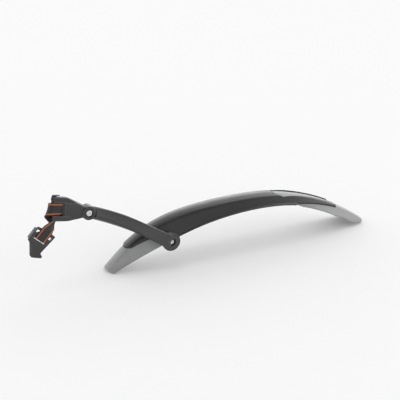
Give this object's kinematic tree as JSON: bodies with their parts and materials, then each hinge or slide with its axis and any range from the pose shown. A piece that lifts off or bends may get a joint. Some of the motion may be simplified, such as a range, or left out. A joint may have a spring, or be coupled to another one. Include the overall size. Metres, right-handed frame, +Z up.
{
  "type": "bicycle mudguard",
  "caption": "Clip-on rear bicycle mudguard: strapped seatpost clamp, cranked arm on friction pivots, and a long arched blade with soft flaps at its ends",
  "frame": {"origin": "on the seatpost's axis, at half the height of the strap", "axes": "+Z up, +X towards the rear of the bicycle along the blade, +Y to the side away from the arm's leg"},
  "size_m": [0.6328, 0.0753, 0.1432],
  "materials": {
    "head_plastic": "moulded, fine grain",
    "pad_rubber": "matt",
    "webbing": "woven, with an orange stripe near each edge",
    "steel": "bright",
    "nylon": "matt",
    "arm_plastic": "moulded, fine grain",
    "blade_plastic": "moulded, satin",
    "flap_plastic": "soft, satin"
  },
  "bodies": {
    "clamp": {"clamp_head": "head_plastic", "saddle_pad": "pad_rubber", "strap": "webbing", "strap_pin": "steel", "buckle": "head_plastic", "head_pivot_screw": "steel", "head_pivot_washer": "steel", "head_pivot_nut": "steel"},
    "arm": {"arm": "arm_plastic", "head_friction_washers": "nylon"},
    "blade": {"blade": "blade_plastic", "front_flap": "flap_plastic", "tail_flap": "flap_plastic", "blade_pivot_screw": "steel", "blade_pivot_washer": "steel", "blade_pivot_nut": "steel", "blade_friction_washer": "nylon"}
  },
  "joints": [
    {"name": "head_tilt", "type": "hinge", "parent": "clamp", "child": "arm", "pos_m": [0.07172, 0, -0.01798], "axis": [0, 1, 0], "range_deg": [-40, 40]},
    {"name": "blade_tilt", "type": "hinge", "parent": "arm", "child": "blade", "pos_m": [0.19968, 0, -0.08067], "axis": [0, 1, 0], "range_deg": [-60, 10]}
  ]
}
